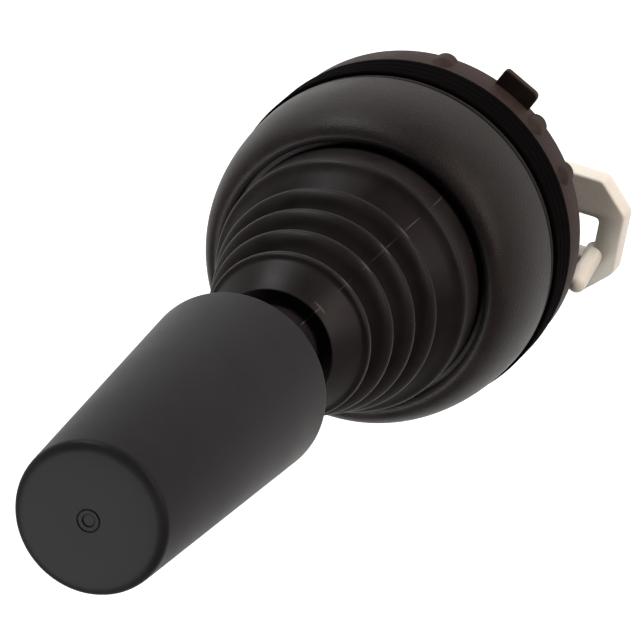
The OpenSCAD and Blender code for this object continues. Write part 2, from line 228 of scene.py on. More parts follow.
@dataclass(frozen=True)
class MouldedRubber(Finish):
    """Compression-moulded rubber: dull, faintly mottled, with pale dust caught on it."""

    grain_mm: float = 0.22
    grain_depth_mm: float = 0.010
    dust_cell_mm: float = 2.6
    dust_mm: float = 0.07
    dust_and_highlight_tone: str = "#6a6462"
    parting: bool = False
    ridge_from_mm: float = 0.0
    ridge_pitch_mm: float = 3.0
    line_mm: float = 0.07
    highlight_reach_mm: float = 0.8
    highlight_height_mm: float = 0.09
    break_mm: float = 1.8

    def build(self) -> bpy.types.Material:
        """Makes the material, with its dust and, on the bellows, its mould's parting line drawn pale (partly
        a painted highlight) and a painted highlight on each crest along it.
        """
        tree, shader, place = self.start()
        tone = self.tones(tree, shader, place)
        grain = add_node(
            tree, "ShaderNodeTexNoise", {"Scale": 1 / self.grain_mm, "Detail": 3.0, "Roughness": 0.65},
            {"Vector": place},
        )
        bump = add_node(
            tree, "ShaderNodeBump", {"Strength": 1.0, "Distance": self.grain_depth_mm * MM},
            {"Height": grain.outputs["Fac"]},
        )
        cells = add_node(tree, "ShaderNodeTexVoronoi", {"Scale": 1 / self.dust_cell_mm}, {"Vector": place})
        fleck = add_node(
            tree,
            "ShaderNodeMapRange",
            {
                "From Min": self.dust_mm / self.dust_cell_mm,
                "From Max": 0.3 * self.dust_mm / self.dust_cell_mm,
            },
            {"Value": cells.outputs["Distance"]},
        )
        marks = fleck.outputs[0]
        # On the bellows: the parting line, drawn pale as partly a painted highlight, and painted highlights
        # on the crests beside it.
        if self.parting:
            marks = self.parting_line_and_highlights(tree, place, marks)
        # Dust, and any parting line and painted crest highlights, in the pale tone.
        dust_and_highlights = add_node(
            tree, "ShaderNodeMix", {"data_type": "RGBA", 7: linear(self.dust_and_highlight_tone)}, {0: marks, 6: tone}
        )
        tree.links.new(dust_and_highlights.outputs[2], shader.inputs["Base Color"])
        tree.links.new(bump.outputs[0], shader.inputs["Normal"])
        return bpy.data.materials[self.name]

    def parting_line_and_highlights(self, tree: bpy.types.NodeTree, place: Socket, marks: Socket) -> Socket:
        """Adds the thin pale line where the mould's halves met, partly a painted highlight of light caught
        on its flash, and a short painted highlight on each ridge's crest beside it.

        Args:
            tree: the material's tree.
            place: the surface place in millimetres.
            marks: how much dust shows so far.

        Returns:
            How much of the pale tone shows: dust, the line and the painted crest highlights.
        """
        turn = math.radians(PARTING_AZIMUTH)
        across = add_node(
            tree, "ShaderNodeVectorMath",
            {"operation": "DOT_PRODUCT", 1: (-math.sin(turn), math.cos(turn), 0.0)}, {0: place},
        )
        apart = add_node(tree, "ShaderNodeMath", {"operation": "ABSOLUTE"}, {0: across.outputs["Value"]})
        # The parting line itself, drawn pale: partly a real mark, partly a painted highlight of light caught
        # on its flash.
        line = add_node(
            tree, "ShaderNodeMapRange", {"From Min": self.line_mm, "From Max": 0.03},
            {"Value": apart.outputs[0]},
        )
        breaks = add_node(
            tree, "ShaderNodeTexNoise", {"Scale": 1 / self.break_mm, "Detail": 1.0}, {"Vector": place}
        )
        shown = add_node(
            tree, "ShaderNodeMapRange", {"From Min": 0.42, "From Max": 0.7, "To Max": 0.6},
            {"Value": breaks.outputs["Fac"]},
        )
        broken = add_node(
            tree, "ShaderNodeMath", {"operation": "MULTIPLY"}, {0: line.outputs[0], 1: shown.outputs[0]}
        )
        parts = add_node(tree, "ShaderNodeSeparateXYZ", {}, {0: place})
        above = add_node(
            tree, "ShaderNodeMath", {"operation": "SUBTRACT", 1: self.ridge_from_mm},
            {0: parts.outputs["Z"]},
        )
        from_ridge = add_node(
            tree, "ShaderNodeMath", {"operation": "PINGPONG", 1: self.ridge_pitch_mm / 2},
            {0: above.outputs[0]},
        )
        # Painted highlight: a thin pale band at each crest's height, standing in for light caught on the
        # crest.
        highlight_band = add_node(
            tree, "ShaderNodeMapRange", {"From Min": self.highlight_height_mm, "From Max": 0.04, "To Max": 0.45},
            {"Value": from_ridge.outputs[0]},
        )
        folded = add_node(
            tree, "ShaderNodeMath", {"operation": "GREATER_THAN", 1: -self.ridge_pitch_mm / 3},
            {0: above.outputs[0]},
        )
        highlight_on_folds = add_node(
            tree, "ShaderNodeMath", {"operation": "MULTIPLY"},
            {0: highlight_band.outputs[0], 1: folded.outputs[0]},
        )
        near = add_node(
            tree, "ShaderNodeMapRange", {"From Min": self.highlight_reach_mm, "From Max": 0.3},
            {"Value": apart.outputs[0]},
        )
        # The painted crest highlights, kept to a short stretch beside the line.
        crest_highlight = add_node(
            tree, "ShaderNodeMath", {"operation": "MULTIPLY"}, {0: highlight_on_folds.outputs[0], 1: near.outputs[0]}
        )
        both = add_node(
            tree, "ShaderNodeMath", {"operation": "MAXIMUM"}, {0: broken.outputs[0], 1: crest_highlight.outputs[0]}
        )
        dust_line_and_highlights = add_node(
            tree, "ShaderNodeMath", {"operation": "MAXIMUM"}, {0: both.outputs[0], 1: marks}
        )
        return dust_line_and_highlights.outputs[0]


class Lay(Enum):
    """Which way a metal's fine marks run, as their size in mm along X, Y and Z."""

    TURNED = (4.0, 4.0, 0.12)
    DRAWN = (0.12, 0.12, 5.0)
    TUMBLED = (0.35, 0.35, 0.35)


@dataclass(frozen=True)
class Metal(Finish):
    """Bare, plated or cast metal with the marks of how it was worked."""

    lay: Lay = Lay.TUMBLED
    mark_depth_mm: float = 0.004

    def build(self) -> bpy.types.Material:
        """Makes the material, with its marks in relief."""
        tree, shader, place = self.start()
        tone = self.tones(tree, shader, place)
        stretched = add_node(
            tree, "ShaderNodeMapping", {"Scale": tuple(1 / size for size in self.lay.value)},
            {"Vector": place},
        )
        marks = add_node(
            tree, "ShaderNodeTexNoise", {"Scale": 1.0, "Detail": 3.0}, {"Vector": stretched.outputs[0]}
        )
        bump = add_node(
            tree, "ShaderNodeBump", {"Strength": 1.0, "Distance": self.mark_depth_mm * MM},
            {"Height": marks.outputs["Fac"]},
        )
        tree.links.new(tone, shader.inputs["Base Color"])
        tree.links.new(bump.outputs[0], shader.inputs["Normal"])
        shader.inputs["Metallic"].default_value = 1.0
        return bpy.data.materials[self.name]


# Grains here are drawn two to five times coarser than real ones of about 0.06 mm, so that they
# show, and so are the metals' marks. The black mouldings and rubbers mirror far less than their
# kind's usual 0.5: a dry, finely pitted skin that a white floor does not turn grey at flat angles.

# Glass-filled polyamide from a spark-eroded mould: a fine even sparkle under broad, soft lights.
BEZEL = MouldedPlastic(
    "spark_eroded_polyamide", "#1b1817", "#262120", 0.4, 0.05, 4.0, mirror=0.07,
    grain_mm=0.2, grain_depth_mm=0.035, flow=0.16,
)
# Plain polyamide from a satin mould: smooth enough for long soft lights down its side.
GRIP = MouldedPlastic(
    "satin_polyamide", "#191819", "#1f1e20", 0.42, 0.03, 5.0, mirror=0.04,
    grain_mm=0.13, grain_depth_mm=0.008, flow=0.05,
)
# Dull brown-black polyamide with short glass fibre: warm and flat where the light falls on it.
NUT = MouldedPlastic(
    "brown_black_polyamide", "#2a201d", "#342826", 0.6, 0.06, 2.5, mirror=0.08,
    grain_mm=0.2, grain_depth_mm=0.02, flow=0.1,
)
# Black polyamide housing: a little glossier than the nut, with a plain mould finish.
HOUSING = MouldedPlastic(
    "black_polyamide", "#191919", "#202020", 0.5, 0.05, 3.0, mirror=0.3,
    grain_mm=0.2, grain_depth_mm=0.012, flow=0.06,
)
# Natural acetal: an ivory white that light sinks into a little, with a waxy satin.
ACETAL = MouldedPlastic(
    "natural_acetal", "#cfc8bc", "#d8d1c6", 0.42, 0.05, 3.5, mirror=0.4,
    grain_mm=0.3, grain_depth_mm=0.008, flow=0.02, ior=1.48, glow=0.15,
)
# Compression-moulded rubber bellows: warm dull black with dust and the mould's parting line, drawn pale as
# partly a painted highlight, with painted highlights on the crests along it.
BELLOWS = MouldedRubber(
    "moulded_bellows_rubber", "#181414", "#201b1b", 0.42, 0.06, 3.0, place=REST_PLACE, mirror=0.07,
    parting=True, ridge_from_mm=20.8, ridge_pitch_mm=3.0,
)
# Nitrile rubber gasket: the deepest, driest black of the object.
GASKET = MouldedRubber(
    "nitrile_rubber", "#050404", "#070606", 0.9, 0.05, 2.0, mirror=0.01,
    dust_cell_mm=4.0, dust_mm=0.05, dust_and_highlight_tone="#2a2827",
)
# Zinc-plated pressed steel: pale grey with a cool, slightly cloudy shine.
ZINC_PLATE = Metal("zinc_plated_steel", "#b4b6b8", "#c4c5c4", 0.34, 0.06, 1.5)
# Turned steel shaft, zinc-plated: fine rings round it.
TURNED_STEEL = Metal("turned_steel", "#b9babd", "#c6c7c8", 0.28, 0.05, 2.0, lay=Lay.TURNED)
# Drawn spring steel: darker, with marks along its wire.
SPRING_STEEL = Metal("drawn_spring_steel", "#9b9da0", "#aeb0b2", 0.3, 0.05, 1.0, lay=Lay.DRAWN)
# Ground pins: the brightest steel here.
GROUND_STEEL = Metal("ground_steel", "#c4c5c8", "#cfd0d1", 0.18, 0.04, 1.0)
# Oil-blackened steel clip: nearly black with a dull metal shine.
BLACK_STEEL = Metal("blackened_steel", "#3a3b3d", "#46474a", 0.4, 0.06, 1.2)
# Die-cast zinc: mid grey, soft shine and a grainy skin.
CAST_ZINC = Metal("die_cast_zinc", "#a3a5a8", "#b2b3b5", 0.42, 0.06, 1.2, mark_depth_mm=0.01)
# Turned brass insert: warm yellow with fine rings.
BRASS = Metal("turned_brass", "#c9a45c", "#d2b06a", 0.3, 0.05, 1.5, lay=Lay.TURNED)
# Sintered bronze bushes: brown-gold and dry, with open pores.
BRONZE = Metal("sintered_bronze", "#a5814c", "#8c6c40", 0.5, 0.08, 0.5, mark_depth_mm=0.02)


# ---------------------------------------------------------------- mesh helpers


def lowest(node: str) -> float:
    """Height of a CAD node's lowest point at rest, in millimetres."""
    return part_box(node)[0].z / MM


def highest(node: str) -> float:
    """Height of a CAD node's highest point at rest, in millimetres."""
    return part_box(node)[1].z / MM


def eased(corners: Sequence[tuple[float, float, float]], steps: int = 5) -> Outline:
    """Eases the corners of a closed outline.

    Args:
        corners: each corner's radius and height, and how far before it the easing starts.
        steps: points on each eased corner.

    Returns:
        The outline with a short curve at each eased corner.
    """
    outline: Outline = []
    count = len(corners)
    for i, (r, z, ease) in enumerate(corners):
        corner = Vector((r, z))
        if ease <= 0:
            outline.append((r, z))
            continue
        before = Vector(corners[i - 1][:2]) - corner
        after = Vector(corners[(i + 1) % count][:2]) - corner
        start = corner + before.normalized() * min(ease, before.length * 0.49)
        end = corner + after.normalized() * min(ease, after.length * 0.49)
        for k in range(steps + 1):
            t = k / steps
            point = start * (1 - t) ** 2 + corner * 2 * t * (1 - t) + end * t * t
            outline.append((point.x, point.y))
    return outline


def spun(loop: Outline, degrees: float) -> Outline:
    """Turns an outline about the lever's axis by an angle in degrees."""
    c, s = math.cos(math.radians(degrees)), math.sin(math.radians(degrees))
    return [(x * c - y * s, x * s + y * c) for x, y in loop]


def shade(mesh: bpy.types.Mesh, angle: float = SHARP_EDGE) -> None:
    """Shades a mesh smooth, with an edge where its faces turn by more than the angle."""
    mesh.polygons.foreach_set("use_smooth", [True] * len(mesh.polygons))
    mesh.set_sharp_from_angle(angle=angle)
    mesh.update()


def close_up(mesh: bpy.types.Mesh) -> None:
    """Merges a mesh's doubled points and turns its faces outwards."""
    work = bmesh.new()
    work.from_mesh(mesh)
    bmesh.ops.remove_doubles(work, verts=work.verts, dist=0.0005 * MM)
    bmesh.ops.recalc_face_normals(work, faces=work.faces)
    work.to_mesh(mesh)
    work.free()


def piece_from(name: str, mesh: bpy.types.Mesh) -> bpy.types.Object:
    """Puts a mesh in the scene as an object of that name."""
    piece = bpy.data.objects.new(name, mesh)
    bpy.context.scene.collection.objects.link(piece)
    return piece


def turned(name: str, outline: Outline, steps: int = ROUND_STEPS) -> bpy.types.Object:
    """Turns a closed outline about the lever's axis.

    Args:
        name: the piece's name.
        outline: radius and height of each point in mm; a point on the axis becomes a pole.
        steps: faces round the axis.

    Returns:
        The piece, closed and facing outwards.
    """
    work = bmesh.new()
    rings = []
    for r, z in outline:
        if r < 1e-6:
            rings.append([work.verts.new((0, 0, z * MM))])
            continue
        rings.append(
            [
                work.verts.new(
                    (
                        r * MM * math.cos(math.tau * k / steps), r * MM * math.sin(math.tau * k / steps),
                        z * MM,
                    )
                )
                for k in range(steps)
            ]
        )
    for i, ring in enumerate(rings):
        other = rings[(i + 1) % len(rings)]
        if len(ring) == 1 and len(other) == 1:
            continue
        for k in range(steps):
            n = (k + 1) % steps
            around = [ring[k % len(ring)], ring[n % len(ring)]]
            around += [other[n % len(other)], other[k % len(other)]]
            work.faces.new(list(dict.fromkeys(around)))
    mesh = bpy.data.meshes.new(name)
    bmesh.ops.recalc_face_normals(work, faces=work.faces)
    work.to_mesh(mesh)
    work.free()
    shade(mesh)
    return piece_from(name, mesh)


def plate(name: str, loops: Sequence[Outline], bottom: float, top: float, edge: float) -> bpy.types.Object:
    """Makes a flat plate with eased edges from its outline and its windows.

    Args:
        name: the piece's name.
        loops: the outline and then each window, as points in mm.
        bottom: height of its lower face in mm.
        top: height of its upper face in mm.
        edge: radius of its edges in mm.

    Returns:
        The piece, with its place in its mesh.
    """
    curve = bpy.data.curves.new(name, "CURVE")
    curve.dimensions = "2D"
    curve.fill_mode = "BOTH"
    curve.extrude = ((top - bottom) / 2 - edge) * MM
    curve.bevel_depth = edge * MM
    curve.bevel_resolution = 3
    curve.offset = -edge * MM
    for loop in loops:
        spline = curve.splines.new("POLY")
        spline.points.add(len(loop) - 1)
        for point, (x, y) in zip(spline.points, loop):
            point.co = (x * MM, y * MM, 0, 1)
        spline.use_cyclic_u = True
    draft = piece_from(name, curve)
    bpy.context.view_layer.update()
    graph = bpy.context.evaluated_depsgraph_get()
    mesh = bpy.data.meshes.new_from_object(draft.evaluated_get(graph), depsgraph=graph)
    bpy.data.objects.remove(draft)
    bpy.data.curves.remove(curve)
    mesh.name = name
    mesh.transform(Matrix.Translation((0, 0, (bottom + top) / 2 * MM)))
    close_up(mesh)
    shade(mesh)
    return piece_from(name, mesh)


def joined(name: str, *parts: bpy.types.Object) -> bpy.types.Object:
    """Joins pieces of one material and one body into the first, under a new name."""
    work = bmesh.new()
    for part in parts:
        work.from_mesh(part.data)
    first, rest = parts[0], parts[1:]
    work.to_mesh(first.data)
    work.free()
    for part in rest:
        bpy.data.objects.remove(part)
    first.name = name
    shade(first.data)
    return first


def keep_place(piece: bpy.types.Object) -> None:
    """Stores each point's place at rest, in mm, for the material's pattern to follow."""
    points = np.zeros(len(piece.data.vertices) * 3, np.float32)
    piece.data.vertices.foreach_get("co", points)
    place = piece.data.attributes.new(REST_PLACE, "FLOAT_VECTOR", "POINT")
    place.data.foreach_set("vector", points / MM)


def dress(piece: bpy.types.Object, material: bpy.types.Material) -> None:
    """Gives a piece its one material."""
    piece.data.materials.clear()
    piece.data.materials.append(material)


class Recipe:
    """A Geometry Nodes tree with named sizes, evaluated once into a plain mesh."""

    def __init__(self, name: str, sizes: dict[str, float | int]) -> None:
        """Starts the tree and gives it one input for each size.

        Args:
            name: the tree's name.
            sizes: each input's name and value; lengths are in millimetres.
        """
        self.tree = bpy.data.node_groups.new(name, "GeometryNodeTree")
        self.sizes = sizes
        face = self.tree.interface
        for label, value in sizes.items():
            kind = "NodeSocketInt" if isinstance(value, int) else "NodeSocketFloat"
            face.new_socket(label, in_out="INPUT", socket_type=kind)
        face.new_socket("Finish", in_out="INPUT", socket_type="NodeSocketMaterial")
        face.new_socket("Geometry", in_out="OUTPUT", socket_type="NodeSocketGeometry")
        self.given = add_node(self.tree, "NodeGroupInput")

    def size(self, label: str) -> Socket:
        """The tree's own socket for a named size."""
        return self.given.outputs[label]

    def add(
        self, kind: str, settings: dict[str | int, object] | None = None,
        links: dict[str | int, Socket] | None = None, out: str | int = 0,
    ) -> Socket:
        """Adds a node to the tree and returns the output that the next one needs."""
        return add_node(self.tree, kind, settings, links).outputs[out]

    def run(self, name: str, geometry: Socket, material: bpy.types.Material) -> bpy.types.Object:
        """Ends the tree, evaluates it and keeps the plain mesh.

        Args:
            name: the piece's name.
            geometry: the geometry, in millimetres, that the tree has made.
            material: the material that Set Material puts on it.

        Returns:
            The piece, in metres, merged and facing outwards.
        """
        real = self.add("GeometryNodeRealizeInstances", {}, {0: geometry})
        scaled = self.add("GeometryNodeTransform", {"Scale": (MM, MM, MM)}, {"Geometry": real})
        dressed = self.add(
            "GeometryNodeSetMaterial", {}, {"Geometry": scaled, "Material": self.given.outputs["Finish"]}
        )
        add_node(self.tree, "NodeGroupOutput", {}, {0: dressed})
        piece = piece_from(name, bpy.data.meshes.new(name))
        modifier = piece.modifiers.new(self.tree.name, "NODES")
        modifier.node_group = self.tree
        for item in self.tree.interface.items_tree:
            if item.item_type == "SOCKET" and item.in_out == "INPUT":
                own = material if item.name == "Finish" else self.sizes[item.name]
                modifier[item.identifier] = own
        bpy.context.view_layer.update()
        graph = bpy.context.evaluated_depsgraph_get()
        mesh = bpy.data.meshes.new_from_object(piece.evaluated_get(graph), depsgraph=graph)
        piece.modifiers.clear()
        empty, piece.data = piece.data, mesh
        bpy.data.meshes.remove(empty)
        mesh.name = name
        close_up(mesh)
        shade(mesh)
        log.info("%s: %d faces from its recipe", name, len(mesh.polygons))
        return piece


# ---------------------------------------------------------------- sub-assemblies


@dataclass
class Grip:
    """Slim tapered hand grip on the lever's end."""

    base_radius: float = 8.0
    tip_radius: float = 6.35
    base_edge: float = 0.5
    tip_edge: float = 0.85
    tip_crown: float = 0.12
    bore_radius: float = 4.0
    bore_depth: float = 12.1
    shaft_radius: float = 2.55
    shaft_depth: float = 15.2
    gate_ring: float = 0.92
    gate_groove: float = 0.07
    gate_disc: float = 0.55

    def outline(self, base: float, tip: float) -> Outline:
        """Half section of the grip, from the gate mark on its tip to the shaft's bore.

        Args:
            base: height of its open end in mm.
            tip: height of its tip in mm.

        Returns:
            The closed outline.
        """
        face = tip - self.tip_crown
        ring, groove, disc = self.gate_ring, self.gate_groove, self.gate_disc
        corners = [
            (0.0, tip - groove * 1.6, 0.0), (disc - 0.08, tip - groove * 1.6, 0.05), (disc, tip, 0.03),
            (ring - groove, tip, 0.03), (ring, tip - groove * 1.4, 0.03), (ring + groove, tip, 0.03),
            (self.tip_radius * 0.6, tip - 0.03, 0.8), (self.tip_radius, face, self.tip_edge),
            (self.base_radius, base, self.base_edge), (self.bore_radius + 0.3, base, 0.1),
            (self.bore_radius, base + 0.3, 0.1), (self.bore_radius, base + self.bore_depth, 0.0),
            (self.shaft_radius, base + self.bore_depth, 0.0),
            (self.shaft_radius, base + self.shaft_depth, 0.0), (0.0, base + self.shaft_depth, 0.0),
        ]
        return eased(corners, 6)

    def build(self) -> None:
        """Turns the grip and puts it on the lever."""
        piece = turned("hand_grip", self.outline(lowest("grip"), highest("grip")))
        dress(piece, GRIP.build())
        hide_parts("grip")
        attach(piece, "lever")
        log.info("grip: %d faces", len(piece.data.polygons))


@dataclass
class Bezel:
    """Domed front ring with a beaded rim and a rolled lip round the bellows."""

    seat_radius: float = 12.82
    rim_radius: float = 14.85
    rim_height: float = 0.45
    rim_groove: float = 0.16
    dome_start: float = 0.95
    dome_radius: float = 14.93
    crest_radius: float = 12.3
    lip_radius: float = 11.75
    lip_drop: float = 0.85
    dome_steps: int = 26

    def build(self) -> None:
        """Turns the ring and puts it on the housing."""
        base, crest = lowest("front_bezel"), highest("front_bezel")
        start = base + self.dome_start
        rim = base + self.rim_height
        neck = self.rim_radius - self.rim_groove
        outline = eased(
            [
                (self.seat_radius, base, 0.0), (self.rim_radius, base, 0.12), (self.rim_radius, rim, 0.12),
                (neck, rim + 0.05, 0.05), (neck, start - 0.25, 0.1),
            ],
            3,
        )[:-1]
        for i in range(self.dome_steps + 1):
            a = math.pi / 2 * i / self.dome_steps
            r = self.crest_radius + (self.dome_radius - self.crest_radius) * math.cos(a)
            outline.append((r, start + (crest - start) * math.sin(a)))
        roll = self.crest_radius - self.lip_radius
        for a in (112, 135, 157, 180):
            turn = math.radians(a)
            outline.append(
                (
                    self.crest_radius + roll * math.cos(turn),
                    crest - roll * 0.8 + roll * 0.8 * math.sin(turn),
                )
            )
        outline += [
            (self.lip_radius + 0.05, crest - self.lip_drop),
            (self.seat_radius, crest - self.lip_drop - 0.05),
        ]
        piece = turned("bezel_ring", outline, 200)
        dress(piece, BEZEL.build())
        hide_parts("front_bezel")
        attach(piece, "housing")
        log.info("bezel: %d faces", len(piece.data.polygons))


@dataclass
class Gasket:
    """Thick rubber ring between bezel and panel, with fine grooves round its edge."""

    inner_radius: float = 10.99
    outer_radius: float = 15.15
    edge: float = 0.3
    grooves: int = 3
    groove_depth: float = 0.05
    groove_half: float = 0.14

    def build(self) -> None:
        """Turns the gasket and puts it on the housing."""
        base, top = lowest("panel_gasket"), highest("panel_gasket")
        pitch = (top - base) / (self.grooves + 1)
        corners = [(self.inner_radius, base, 0.0), (self.outer_radius, base, self.edge)]
        for i in range(1, self.grooves + 1):
            z = base + pitch * i
            corners += [
                (self.outer_radius, z - self.groove_half, 0.05),
                (self.outer_radius - self.groove_depth, z, 0.05),
                (self.outer_radius, z + self.groove_half, 0.05),
            ]
        corners += [(self.outer_radius, top, self.edge), (self.inner_radius, top, 0.0)]
        piece = turned("sealing_gasket", eased(corners, 3), 200)
        dress(piece, GASKET.build())
        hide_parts("panel_gasket")
        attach(piece, "housing")
        log.info("gasket: %d faces", len(piece.data.polygons))


@dataclass
class LockNut:
    """Plastic nut with two driving lugs and low ribs beside each, behind the panel."""

    radius: float = 14.9
    bore_radius: float = 10.94
    front_chamfer: float = 0.3
    rear_chamfer: float = 0.12
    lug_azimuth: float = 64.7
    lug_width: float = 3.7
    lug_reach: float = 16.45
    lug_height: float = 0.75
    lug_corner: float = 0.4
    lug_edge: float = 0.14
    rib_radius: float = 1.15
    rib_sunk: float = 0.68
    rib_step: float = 18.95
    rib_first: float = 25.3
    places: int = 4
    covered: int = 1

    def rib_ring(self, base: float, top: float) -> bpy.types.Object:
        """Sets the low ribs beside each lug; the place that the lug covers stays free.

        Args:
            base: height of the nut's rear face in mm.
            top: height of its front face in mm.

        Returns:
            All ribs as one piece.
        """
        recipe = Recipe(
            "nut_ribs",
            {
                "Places": self.places, "Covered": self.covered,
                "First Angle": math.radians(self.lug_azimuth + self.rib_first),
                "Step": math.radians(self.rib_step), "Ring Radius": self.radius - self.rib_sunk,
                "Rib Radius": self.rib_radius, "Sunk": self.rib_sunk, "Base": base + 0.06,
                "Rib Length": top - base - 0.12,
            },
        )
        add = recipe.add
        both = add("ShaderNodeMath", {"operation": "MULTIPLY", 1: 2.0}, {0: recipe.size("Places")})
        points = add("GeometryNodePoints", {}, {"Count": both})
        index = add("GeometryNodeInputIndex")
        place = add("ShaderNodeMath", {"operation": "MODULO"}, {0: index, 1: recipe.size("Places")})
        second = add(
            "FunctionNodeCompare", {"data_type": "FLOAT", "operation": "GREATER_EQUAL"},
            {0: index, 1: recipe.size("Places")},
        )
        half_turn = add("ShaderNodeMath", {"operation": "MULTIPLY", 1: math.pi}, {0: second})
        back = add("ShaderNodeMath", {"operation": "MULTIPLY"}, {0: place, 1: recipe.size("Step")})
        start = add("ShaderNodeMath", {"operation": "ADD"}, {0: recipe.size("First Angle"), 1: half_turn})
        angle = add("ShaderNodeMath", {"operation": "SUBTRACT"}, {0: start, 1: back})
        spin = add("ShaderNodeCombineXYZ", {}, {"Z": angle})
        out = add("ShaderNodeCombineXYZ", {}, {"X": recipe.size("Ring Radius"), "Z": recipe.size("Base")})
        round_axis = add(
            "ShaderNodeVectorRotate", {"rotation_type": "Z_AXIS"}, {"Vector": out, "Angle": angle}
        )
        set_out = add("GeometryNodeSetPosition", {}, {"Geometry": points, "Position": round_axis})
        free = add(
            "FunctionNodeCompare", {"data_type": "FLOAT", "operation": "NOT_EQUAL", "Epsilon": 0.1},
            {0: place, 1: recipe.size("Covered")},
        )
        line = add(
            "GeometryNodeCurvePrimitiveLine", {},
            {"End": add("ShaderNodeCombineXYZ", {}, {"Z": recipe.size("Rib Length")})},
        )
        fine = add("GeometryNodeResampleCurve", {"Count": 19}, {"Curve": line})
        along = add("GeometryNodeSplineParameter")
        flush = add(
            "ShaderNodeMath", {"operation": "DIVIDE"}, {0: recipe.size("Sunk"), 1: recipe.size("Rib Radius")}
        )
        swell = add(
            "ShaderNodeMapRange",
            {"interpolation_type": "SMOOTHSTEP", "From Min": 0.97, "From Max": 0.45, "To Max": 1.0},
            {"Value": along, "To Min": flush},
        )
        foot = add("ShaderNodeMapRange", {"From Max": 0.08, "To Min": 0.9, "To Max": 1.0}, {"Value": along})
        scale = add("ShaderNodeMath", {"operation": "MULTIPLY"}, {0: swell, 1: foot})
        section = add(
            "GeometryNodeCurvePrimitiveCircle", {"Resolution": 28}, {"Radius": recipe.size("Rib Radius")}
        )
        rib = add(
            "GeometryNodeCurveToMesh", {"Fill Caps": True},
            {"Curve": fine, "Profile Curve": section, "Scale": scale},
        )
        ribs = add(
            "GeometryNodeInstanceOnPoints", {},
            {"Points": set_out, "Instance": rib, "Selection": free, "Rotation": spin},
        )
        return recipe.run("nut_ribs", ribs, bpy.data.materials[NUT.name])

    def lug(self, turn: float, base: float) -> bpy.types.Object:
        """Makes one flat square lug with rounded corners.

        Args:
            turn: where it stands round the nut, in degrees.
            base: height of the nut's rear face in mm.

        Returns:
            The lug, in place.
        """
        half = self.lug_width / 2
        loop = eased(
            [
                (self.radius - 2, -half, 0.0), (self.lug_reach, -half, self.lug_corner * 1.6),
                (self.lug_reach, half, self.lug_corner), (self.radius - 2, half, 0.0),
            ],
            5,
        )
        return plate("lug", [spun(loop, turn)], base, base + self.lug_height, self.lug_edge)

    def build(self) -> None:
        """Makes the nut's body, lugs and ribs, and puts them on the housing."""
        base, top = lowest("lock_nut"), highest("lock_nut")
        material = NUT.build()
        body = turned(
            "nut_body",
            eased(
                [
                    (self.bore_radius, base, 0.2), (self.radius, base, self.rear_chamfer),
                    (self.radius, top, self.front_chamfer), (self.bore_radius, top, 0.2),
                ],
                3,
            ),
            200,
        )
        lugs = [self.lug(self.lug_azimuth + turn, base) for turn in (0, 180)]
        piece = joined("ring_nut", body, *lugs)
        dress(piece, material)
        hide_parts("lock_nut")
        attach(piece, "housing")
        ribs = self.rib_ring(base, top)
        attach(ribs, "housing")
        log.info("lock nut: %d faces", len(piece.data.polygons))


